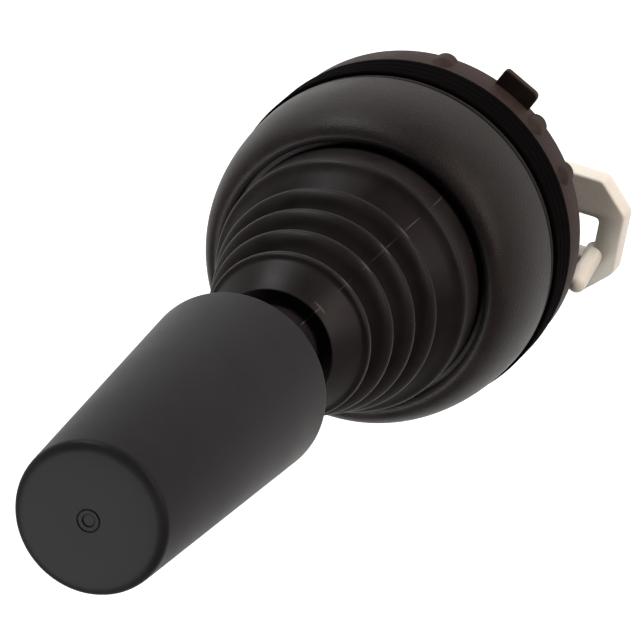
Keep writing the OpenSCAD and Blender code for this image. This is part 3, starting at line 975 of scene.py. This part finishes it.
@dataclass
class Sleeve:
    """Threaded tube through the panel, with the cup that holds the bearings."""

    bore_radius: float = 9.4
    root_radius: float = 10.42
    crest_radius: float = 10.9
    cup_radius: float = 12.8
    cup_wall: float = 1.2
    cup_floor: float = 1.4
    pitch: float = 1.5
    ledge_z: float = -3.6
    ledge_width: float = 0.65
    ledge_height: float = 1.0
    clip_z: float = -7.03
    clip_top: float = -6.2
    clip_groove: float = 0.5
    gasket_height: float = 4.0
    pillar_width: float = 4.6
    pillar_foot: float = 6.1
    thread_steps: int = 56

    def thread(self, base: float) -> bpy.types.Object:
        """Winds the thread's ridge round the tube.

        Args:
            base: height of the tube's rear end in mm.

        Returns:
            The ridge as one piece.
        """
        depth = self.crest_radius - self.root_radius
        length = -base - 0.5 - 0.15 - self.pitch / 2
        recipe = Recipe(
            "helical_thread",
            {
                "Root Radius": self.root_radius, "Depth": depth, "Pitch": self.pitch, "Length": length,
                "Start": base + 0.5 + self.pitch / 4, "Steps": self.thread_steps,
            },
        )
        add = recipe.add
        turns = add(
            "ShaderNodeMath", {"operation": "DIVIDE"}, {0: recipe.size("Length"), 1: recipe.size("Pitch")}
        )
        helix = add(
            "GeometryNodeCurveSpiral",
            {},
            {
                "Resolution": recipe.size("Steps"), "Rotations": turns,
                "Start Radius": recipe.size("Root Radius"), "End Radius": recipe.size("Root Radius"),
                "Height": recipe.size("Length"),
            },
        )
        upright = add("GeometryNodeSetCurveNormal", {"mode": "Z_UP"}, {0: helix})
        square = add(
            "GeometryNodeCurvePrimitiveCircle", {"Resolution": 6}, {"Radius": recipe.size("Depth")}
        )
        ridge = add(
            "GeometryNodeCurveToMesh", {"Fill Caps": True}, {"Curve": upright, "Profile Curve": square}
        )
        lift = add("ShaderNodeCombineXYZ", {}, {"Z": recipe.size("Start")})
        placed = add("GeometryNodeTransform", {}, {"Geometry": ridge, "Translation": lift})
        return recipe.run("tube_thread", placed, bpy.data.materials[HOUSING.name])

    def pillar(self, turn: float, top: float) -> bpy.types.Object:
        """Makes one of the two pillars that carry the gimbal's bushes.

        Args:
            turn: where it stands, in degrees.
            top: height of the cup's rim in mm.

        Returns:
            The pillar, in place.
        """
        half = self.pillar_width / 2
        outer = self.cup_radius - self.cup_wall / 2
        reach = math.sqrt(outer**2 - half**2)
        loop = [(self.bore_radius, -half), (reach, -half), (outer, 0.0), (reach, half)]
        loop.append((self.bore_radius, half))
        return plate("pillar", [spun(loop, turn)], self.pillar_foot, top, 0.15)

    def build(self) -> None:
        """Turns the tube and cup, winds the thread, and puts both on the housing."""
        base, top = lowest("threaded_sleeve"), highest("threaded_sleeve")
        material = HOUSING.build()
        floor = self.gasket_height + self.cup_floor
        groove = self.bore_radius + self.clip_groove
        inner = self.bore_radius - self.ledge_width
        body = turned(
            "sleeve_body",
            eased(
                [
                    (self.bore_radius, base, 0.1), (self.root_radius - 0.2, base, 0.15),
                    (self.root_radius, base + 0.4, 0.1), (self.root_radius, -0.4, 0.0),
                    (self.crest_radius, -0.1, 0.0), (self.crest_radius, self.gasket_height, 0.0),
                    (self.cup_radius, self.gasket_height, 0.1), (self.cup_radius, top, 0.1),
                    (self.cup_radius - self.cup_wall, top, 0.1),
                    (self.cup_radius - self.cup_wall, floor, 0.2), (self.bore_radius, floor, 0.2),
                    (self.bore_radius, self.ledge_z + self.ledge_height, 0.0),
                    (inner, self.ledge_z + self.ledge_height, 0.1), (inner, self.ledge_z, 0.0),
                    (self.bore_radius, self.ledge_z, 0.0), (self.bore_radius, self.clip_top, 0.0),
                    (groove, self.clip_top, 0.0), (groove, self.clip_z, 0.0),
                    (self.bore_radius, self.clip_z, 0.0),
                ],
                3,
            ),
            200,
        )
        pillars = [self.pillar(turn, top - 0.02) for turn in (0, 180)]
        piece = joined("housing_sleeve", body, *pillars)
        dress(piece, material)
        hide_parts("threaded_sleeve")
        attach(piece, "housing")
        ridge = self.thread(base)
        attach(ridge, "housing")
        log.info("sleeve: %d faces", len(piece.data.polygons))


@dataclass
class Bellows:
    """Rubber bellows from the bezel's lip to the lever: skirt, folds and a conical collar."""

    rubber: float = 1.0
    bead_radius: float = 12.6
    lip_height: float = 12.85
    skirt_radius: float = 11.3
    shoulder: float = 17.0
    folds: int = 4
    first_fold: float = 9.9
    last_fold: float = 7.3
    first_height: float = 20.8
    pitch: float = 3.0
    depth: float = 0.75
    collar_radius: float = 5.2
    collar_height: float = 33.45
    neck_radius: float = 3.9
    upper_reach: float = 8.7
    rows: int = 22

    @property
    def drop(self) -> float:
        """How much smaller each fold is than the one before it."""
        return (self.first_fold - self.last_fold) / (self.folds - 1)

    def valley(self, i: float) -> tuple[float, float]:
        """Radius and height of the valley before fold i."""
        r = self.first_fold - self.drop * i - self.depth
        return r, self.first_height + self.pitch * (i - 0.5)

    def fold_wall(self, first: int, count: int, name: str) -> bpy.types.Object:
        """Rolls a run of folds, each like the one before it but smaller.

        Args:
            first: number of the run's first fold.
            count: how many folds it has.
            name: the piece's name.

        Returns:
            The run as a closed wall of rubber.
        """
        radius, height = self.valley(first)
        recipe = Recipe(
            name,
            {
                "Folds": count, "Rows": 2 * self.rows * count + 1, "Steps": ROUND_STEPS + 1,
                "Valley Radius": radius, "Drop": self.drop, "Height": height, "Pitch": self.pitch,
                "Fold Depth": self.depth + self.drop / 2, "Rubber": self.rubber,
            },
        )
        add = recipe.add
        sheet = add(
            "GeometryNodeMeshGrid", {"Size X": 1.0, "Size Y": 1.0},
            {"Vertices X": recipe.size("Rows"), "Vertices Y": recipe.size("Steps")}, "Mesh",
        )
        where = add_node(recipe.tree, "ShaderNodeSeparateXYZ", {}, {0: add("GeometryNodeInputPosition")})
        run = add("ShaderNodeMath", {"operation": "MULTIPLY_ADD", 1: 2.0, 2: 1.0}, {0: where.outputs["X"]})
        up = add("ShaderNodeMath", {"operation": "PINGPONG", 1: 1.0}, {0: run})
        fold = add("ShaderNodeMath", {"operation": "MULTIPLY"}, {0: up, 1: recipe.size("Folds")})
        past = add("ShaderNodeMath", {"operation": "GREATER_THAN", 1: 1.0001}, {0: run})
        short = add("ShaderNodeMath", {"operation": "LESS_THAN", 1: 1.9999}, {0: run})
        inner = add("ShaderNodeMath", {"operation": "MULTIPLY"}, {0: past, 1: short})
        within = add("ShaderNodeMath", {"operation": "FRACT"}, {0: fold})
        shape = add_node(recipe.tree, "ShaderNodeFloatCurve", {}, {"Value": within})
        self.shape_fold(shape)
        out = add(
            "ShaderNodeMath", {"operation": "MULTIPLY"}, {0: shape.outputs[0], 1: recipe.size("Fold Depth")}
        )
        sink = add("ShaderNodeMath", {"operation": "MULTIPLY"}, {0: fold, 1: recipe.size("Drop")})
        cone = add("ShaderNodeMath", {"operation": "SUBTRACT"}, {0: recipe.size("Valley Radius"), 1: sink})
        outer = add("ShaderNodeMath", {"operation": "ADD"}, {0: cone, 1: out})
        wall = add("ShaderNodeMath", {"operation": "MULTIPLY"}, {0: inner, 1: recipe.size("Rubber")})
        far = add("ShaderNodeMath", {"operation": "SUBTRACT"}, {0: outer, 1: wall})
        turn = add(
            "ShaderNodeMath", {"operation": "MULTIPLY_ADD", 1: math.tau, 2: math.pi},
            {0: where.outputs["Y"]},
        )
        east = add("ShaderNodeMath", {"operation": "COSINE"}, {0: turn})
        north = add("ShaderNodeMath", {"operation": "SINE"}, {0: turn})
        rise = add(
            "ShaderNodeMath", {"operation": "MULTIPLY_ADD"},
            {0: fold, 1: recipe.size("Pitch"), 2: recipe.size("Height")},
        )
        place = add(
            "ShaderNodeCombineXYZ",
            {},
            {
                "X": add("ShaderNodeMath", {"operation": "MULTIPLY"}, {0: far, 1: east}),
                "Y": add("ShaderNodeMath", {"operation": "MULTIPLY"}, {0: far, 1: north}), "Z": rise,
            },
        )
        rolled = add("GeometryNodeSetPosition", {}, {"Geometry": sheet, "Position": place})
        return recipe.run(name, rolled, bpy.data.materials[BELLOWS.name])

    def shape_fold(self, node: bpy.types.Node) -> None:
        """Draws one fold from valley to valley: a steep side, a round crest and a falling tread."""
        curve = node.mapping.curves[0]
        points = [(0.0, 0.0), (0.12, 0.24), (0.36, 0.83), (0.5, 1.0), (0.64, 0.88), (0.86, 0.3), (1.0, 0.0)]
        for k, (x, y) in enumerate(points):
            if k in (0, len(points) - 1):
                curve.points[0 if k == 0 else -1].location = (x, y)
            else:
                curve.points.new(x, y)
        node.mapping.update()

    def skirt(self) -> bpy.types.Object:
        """Turns the part that sits in the bezel, with its shoulder and long flank."""
        low = lowest("bellows")
        end_r, end_z = self.valley(0)
        wall = self.rubber
        corners = [
            (self.bead_radius, low, 0.05), (self.bead_radius, self.lip_height, 0.1),
            (self.skirt_radius, self.lip_height, 0.05), (self.skirt_radius - 0.02, self.shoulder, 0.42),
            (self.skirt_radius - 0.75, self.shoulder + 0.55, 0.5), (end_r, end_z, 0.0),
            (end_r - wall, end_z, 0.0), (self.skirt_radius - 0.75 - wall, self.shoulder - 0.2, 0.3),
            (self.skirt_radius - wall, self.shoulder - 0.9, 0.3), (self.skirt_radius - wall, low, 0.05),
        ]
        return turned("skirt", eased(corners, 6))

    def collar(self) -> bpy.types.Object:
        """Turns the last fold, the cone above it with its sharp rim, and the neck."""
        top = highest("bellows")
        start_r, start_z = self.valley(self.folds - 1)
        crest_z = start_z + self.pitch / 2
        crest_r = self.last_fold
        wall, rim_r, rim_z = self.rubber, self.collar_radius, self.collar_height
        corners = [
            (start_r, start_z, 0.0), (start_r + 0.42, start_z + 0.75, 0.3),
            (crest_r + 0.02, crest_z - 0.2, 0.3), (crest_r - 0.05, crest_z + 0.35, 0.3),
            (crest_r - 0.5, crest_z + 0.6, 0.25), (rim_r, rim_z, 0.12),
            (self.neck_radius, rim_z - 0.35, 0.25), (self.neck_radius, top, 0.1),
            (self.neck_radius - wall, top, 0.1), (self.neck_radius - wall, rim_z - 1.2, 0.3),
            (crest_r - 0.5 - wall, crest_z + 0.3, 0.3), (start_r - wall, start_z, 0.0),
        ]
        return turned("collar", eased(corners, 6))

    def build(self) -> None:
        """Makes the bellows in two lengths."""
        material = BELLOWS.build()
        lower = joined("bellows_lower", self.skirt(), self.fold_wall(0, 1, "first_fold"))
        upper = joined("bellows_upper", self.fold_wall(1, self.folds - 2, "middle_folds"), self.collar())
        for piece in (lower, upper):
            keep_place(piece)
            dress(piece, material)
            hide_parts("bellows")
        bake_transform(lower)
        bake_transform(upper)
        log.info("bellows: %d and %d faces", len(lower.data.polygons), len(upper.data.polygons))


class Side(Enum):
    """The four sliders, by the way they stand from the lever's axis."""

    RIGHT = (1, 0)
    LEFT = (-1, 0)
    UPPER = (0, 1)
    LOWER = (0, -1)

    @property
    def word(self) -> str:
        """The side's name as the model's bodies and nodes spell it."""
        return self.name.lower()


@dataclass
class Pushers:
    """Sliders with their coil springs, push arms and pads."""

    slider_radius: float = 6.0
    spring_radius: float = 1.9
    wire_radius: float = 0.25
    turns: float = 4.0
    end_ease: float = 0.4
    root: float = 3.4
    reach: float = 16.6
    width: float = 10.7
    root_chamfer: float = 3.2
    end_chamfer: float = 2.6
    window_length: float = 4.0
    window_width: float = 3.7
    window_end: float = 2.2
    arm_height: float = 2.4
    arm_edge: float = 0.22
    peg_radius: float = 0.82
    peg_foot: tuple[float, float, float] = (14.5, -1.7, -10.4)
    peg_tip: tuple[float, float, float] = (14.55, -2.94, -6.25)

    def spring(self, side: Side, material: bpy.types.Material) -> None:
        """Coils one spring with closed ends.

        Args:
            side: whose spring it is.
            material: the wire's finish.
        """
        node = f"{side.word}_spring"
        base, top = lowest(node), highest(node)
        recipe = Recipe(
            node + "_coil",
            {
                "Radius": self.spring_radius, "Wire": self.wire_radius, "Turns": self.turns,
                "Length": top - base - 2 * self.wire_radius, "Start": base + self.wire_radius,
                "End Ease": self.end_ease, "Offset X": self.slider_radius * side.value[0],
                "Offset Y": self.slider_radius * side.value[1],
            },
        )
        add = recipe.add
        helix = add(
            "GeometryNodeCurveSpiral",
            {"Resolution": 28, "Height": 0.0},
            {
                "Rotations": recipe.size("Turns"), "Start Radius": recipe.size("Radius"),
                "End Radius": recipe.size("Radius"),
            },
        )
        along = add("GeometryNodeSplineParameter")
        wave = add("ShaderNodeMath", {"operation": "MULTIPLY", 1: math.tau}, {0: along})
        swing = add("ShaderNodeMath", {"operation": "SINE"}, {0: wave})
        ease = add("ShaderNodeMath", {"operation": "MULTIPLY"}, {0: swing, 1: recipe.size("End Ease")})
        share = add("ShaderNodeMath", {"operation": "DIVIDE", 1: math.tau}, {0: ease})
        climb = add("ShaderNodeMath", {"operation": "SUBTRACT"}, {0: along, 1: share})
        height = add(
            "ShaderNodeMath", {"operation": "MULTIPLY_ADD"},
            {0: climb, 1: recipe.size("Length"), 2: recipe.size("Start")},
        )
        lift = add(
            "ShaderNodeCombineXYZ", {},
            {"X": recipe.size("Offset X"), "Y": recipe.size("Offset Y"), "Z": height},
        )
        coil = add("GeometryNodeSetPosition", {}, {"Geometry": helix, "Offset": lift})
        wire = add("GeometryNodeCurvePrimitiveCircle", {"Resolution": 10}, {"Radius": recipe.size("Wire")})
        wound = add("GeometryNodeCurveToMesh", {"Fill Caps": True}, {"Curve": coil, "Profile Curve": wire})
        piece = recipe.run(f"{side.word}_coil", wound, material)
        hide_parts(node)
        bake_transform(piece)

    def arm(self, side: Side, material: bpy.types.Material) -> None:
        """Makes one chamfered push arm with its window and its leaning peg.

        Args:
            side: RIGHT or LEFT.
            material: the arm's finish.
        """
        node = f"{side.word}_push_arm"
        base = lowest(node)
        half, chamfer, root = self.width / 2, self.end_chamfer, self.root_chamfer
        outline = [
            (self.root, root - half), (self.root + root, -half), (self.reach - chamfer, -half),
            (self.reach, chamfer - half), (self.reach, half - chamfer), (self.reach - chamfer, half),
            (self.root + root, half), (self.root, half - root),
        ]
        x1 = self.reach - self.window_end
        x0, y1 = x1 - self.window_length, self.window_width / 2
        window = eased([(x0, -y1, 0.5), (x0, y1, 0.5), (x1, y1, 0.5), (x1, -y1, 0.5)], 4)
        body = plate(
            "arm", [eased([(x, y, 0.35) for x, y in outline], 3), window],
            base, base + self.arm_height, self.arm_edge,
        )
        foot, tip = Vector(self.peg_foot), Vector(self.peg_tip)
        lean = tip - foot
        r = self.peg_radius
        section = [(0.0, -0.8), (r + 0.12, -0.8), (r + 0.12, 0.15), (r, 0.35), (r, lean.length)]
        for k in range(1, 9):
            a = math.pi / 2 * k / 8
            section.append((r * math.cos(a), lean.length + r * math.sin(a)))
        section[-1] = (0.0, section[-1][1])
        peg = turned("peg", section, 40)
        aim = Vector((0, 0, 1)).rotation_difference(lean).to_matrix().to_4x4()
        peg.data.transform(Matrix.Translation(foot * MM) @ aim)
        piece = joined(f"{side.word}_arm", body, peg)
        if side is Side.LEFT:
            piece.data.transform(Matrix.Rotation(math.pi, 4, "Z"))
        dress(piece, material)
        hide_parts(node)
        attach(piece, f"{side.word}_pusher")
        log.info("%s: %d faces", piece.name, len(piece.data.polygons))

    def build(self) -> None:
        """Makes every spring and arm, and dresses the sliders."""
        acetal = ACETAL.build()
        wire = SPRING_STEEL.build()
        for side in Side:
            self.spring(side, wire)
            dress_node(f"{side.word}_slider", acetal)
        for side in (Side.RIGHT, Side.LEFT):
            self.arm(side, acetal)


def dress_node(node: str, material: bpy.types.Material) -> None:
    """Gives a CAD node that stays in view its finish."""
    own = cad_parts[node]
    if not own.material_slots:
        own.data.materials.append(material)
    for slot in own.material_slots:
        slot.material = material
    log.info("%s keeps its shape, in %s", node, material.name)


@dataclass
class Mechanism:
    """The metal parts inside: gate, gimbal, lever, rocker and clip."""

    finishes: tuple[tuple[Metal, tuple[str, ...]], ...] = (
        (ZINC_PLATE, ("gate_plate", "rocker_plate", "rocker_nut")), (TURNED_STEEL, ("lever_shaft",)),
        (CAST_ZINC, ("gimbal_ring", "pivot_hub")), (GROUND_STEEL, ("gimbal_pins", "hub_pins")),
        (BRONZE, ("pivot_bushes",)), (BRASS, ("grip_insert",)),
        (BLACK_STEEL, ("retaining_ring", "neck_washer")),
    )

    def build(self) -> None:
        """Dresses each inner part and the slider guide."""
        for finish, nodes in self.finishes:
            material = finish.build()
            for node in nodes:
                dress_node(node, material)
        dress_node("slider_guide", bpy.data.materials[HOUSING.name])


# ---------------------------------------------------------------- studio


@dataclass
class Lamp:
    """One soft rectangular lamp, placed by how it lies from the camera's own view."""

    name: str
    right: float
    up: float
    toward: float
    distance: float
    width: float
    height: float
    watts: float
    tone: str = "#ffffff"


@dataclass
class Studio:
    """White backdrop, soft lamps and the long-lens camera."""

    azimuth: float = 57.59
    elevation: float = 62.63
    aim: tuple[float, float, float] = (2.161, 1.691, 28.661)
    distance: float = 579.30
    roll: float = 223.16
    lens: float = 393.75
    drop: float = 0.25
    floor_size: float = 6.0
    floor_lift: float = 0.55
    room_level: float = 0.12
    lamps: tuple[Lamp, ...] = (
        Lamp("front_left", -0.62, -0.56, 0.55, 0.35, 0.2, 0.2, 1.75),
        Lamp("key_right", 0.85, 0.3, 0.4, 0.45, 0.12, 0.4, 1.9, "#fff4ec"),
        Lamp("key_above", -0.3, 0.93, 0.1, 0.45, 0.25, 0.12, 1.5),
    )

    def axes(self) -> tuple[Vector, Vector, Vector]:
        """The camera's right, up and backward directions."""
        a, e = math.radians(self.azimuth), math.radians(self.elevation)
        back = Vector((math.cos(e) * math.cos(a), math.cos(e) * math.sin(a), math.sin(e)))
        axis = (Vector((0, 0, 1)) - back * back.z).normalized()
        side = back.cross(axis)
        t = math.radians(self.roll)
        right = axis * math.cos(t) - side * math.sin(t)
        up = axis * math.sin(t) + side * math.cos(t)
        return right, up, back

    def camera(self) -> None:
        """Sets up the camera."""
        right, up, back = self.axes()
        data = bpy.data.cameras.new("long_lens")
        data.lens = self.lens
        data.sensor_width = 36.0
        data.clip_start = 0.01
        camera = bpy.data.objects.new("long_lens", data)
        bpy.context.scene.collection.objects.link(camera)
        turn = Matrix((right, up, back)).transposed().to_4x4()
        place = (Vector(self.aim) + back * self.distance) * MM
        camera.matrix_world = Matrix.Translation(place) @ turn
        bpy.context.scene.camera = camera
        log.info("camera %.0f mm away", self.distance)

    def light(self) -> None:
        """Hangs the soft lamps round the object."""
        right, up, back = self.axes()
        centre = Vector(self.aim) * MM
        for lamp in self.lamps:
            data = bpy.data.lights.new(lamp.name, "AREA")
            data.shape = "RECTANGLE"
            data.size, data.size_y = lamp.width, lamp.height
            data.energy = lamp.watts
            data.color = linear(lamp.tone)[:3]
            way = (right * lamp.right + up * lamp.up + back * lamp.toward).normalized()
            light = bpy.data.objects.new(lamp.name, data)
            bpy.context.scene.collection.objects.link(light)
            tall = (up - way * up.dot(way)).normalized()
            turn = Matrix((tall.cross(way), tall, way)).transposed().to_4x4()
            light.matrix_world = Matrix.Translation(centre + way * lamp.distance) @ turn
            log.info("%s: %.1f W", lamp.name, lamp.watts)

    def ray_tests(self, tree: bpy.types.NodeTree) -> tuple[Socket, Socket]:
        """Adds the tests of what a ray is.

        Args:
            tree: the material's or the world's tree.

        Returns:
            Whether it comes from the camera, and whether from a shiny or a clear surface.
        """
        rays = add_node(tree, "ShaderNodeLightPath")
        shine = add_node(
            tree, "ShaderNodeMath", {"operation": "MAXIMUM"},
            {0: rays.outputs["Is Glossy Ray"], 1: rays.outputs["Is Transmission Ray"]},
        )
        return rays.outputs["Is Camera Ray"], shine.outputs[0]

    def world(self) -> None:
        """Makes a dim even room that is plain white to the camera, and below to a shiny surface."""
        world = bpy.data.worlds.new("studio")
        bpy.context.scene.world = world
        world.use_nodes = True
        tree = world.node_tree
        tree.nodes.clear()
        where = add_node(tree, "ShaderNodeTexCoord")
        height = add_node(tree, "ShaderNodeSeparateXYZ", {}, {0: where.outputs["Generated"]})
        low = add_node(
            tree, "ShaderNodeMath", {"operation": "LESS_THAN", 1: -0.05}, {0: height.outputs["Z"]}
        )
        camera, shine = self.ray_tests(tree)
        backdrop = add_node(
            tree, "ShaderNodeMath", {"operation": "MULTIPLY"}, {0: shine, 1: low.outputs[0]}
        )
        white = add_node(
            tree, "ShaderNodeMath", {"operation": "MAXIMUM"}, {0: camera, 1: backdrop.outputs[0]}
        )
        room = add_node(tree, "ShaderNodeBackground", {"Strength": self.room_level})
        seen = add_node(tree, "ShaderNodeBackground", {"Strength": 1.0})
        for node in (room, seen):
            node.inputs["Color"].default_value = (1, 1, 1, 1)
        mix = add_node(
            tree, "ShaderNodeMixShader", {}, {0: white.outputs[0], 1: room.outputs[0], 2: seen.outputs[0]}
        )
        add_node(tree, "ShaderNodeOutputWorld", {}, {0: mix.outputs[0]})

    def floor(self) -> None:
        """Lays the pale floor, clear from behind."""
        low = CAD_BOX[0].z - self.drop
        half = self.floor_size / 2
        mesh = bpy.data.meshes.new("studio_floor")
        corners = [(-half, -half, low), (half, -half, low), (half, half, low), (-half, half, low)]
        mesh.from_pydata(corners, [], [(0, 1, 2, 3)])
        piece = piece_from("studio_floor", mesh)
        material = bpy.data.materials.new("pale_paper")
        material.use_nodes = True
        tree = material.node_tree
        tree.nodes.clear()
        paper = add_node(tree, "ShaderNodeBsdfDiffuse", {"Color": linear("#f2f1f0"), "Roughness": 0.9})
        camera, shine = self.ray_tests(tree)
        seen = add_node(tree, "ShaderNodeMath", {"operation": "MAXIMUM"}, {0: camera, 1: shine})
        lift = add_node(
            tree, "ShaderNodeMath", {"operation": "MULTIPLY", 1: self.floor_lift}, {0: seen.outputs[0]}
        )
        glow = add_node(tree, "ShaderNodeEmission", {"Color": (1, 1, 1, 1)}, {"Strength": lift.outputs[0]})
        both = add_node(tree, "ShaderNodeAddShader", {}, {0: paper.outputs[0], 1: glow.outputs[0]})
        clear = add_node(tree, "ShaderNodeBsdfTransparent")
        side = add_node(tree, "ShaderNodeNewGeometry")
        laid = add_node(
            tree, "ShaderNodeMixShader", {},
            {0: side.outputs["Backfacing"], 1: both.outputs[0], 2: clear.outputs[0]},
        )
        add_node(tree, "ShaderNodeOutputMaterial", {}, {"Surface": laid.outputs[0]})
        mesh.materials.append(material)

    def build(self) -> None:
        """Sets up the backdrop, the lamps and the camera."""
        self.world()
        self.floor()
        self.light()
        self.camera()
        bpy.context.scene.view_settings.view_transform = "Standard"


def main() -> None:
    """Builds every sub-assembly in order and reports each."""
    logging.basicConfig(level=logging.INFO, format="%(name)s: %(message)s")
    studio = Studio()
    studio.build()
    for part in (Grip(), Bezel(), Gasket(), LockNut(), Sleeve(), Bellows(), Pushers(), Mechanism()):
        part.build()


if __name__ == "__main__":
    main()
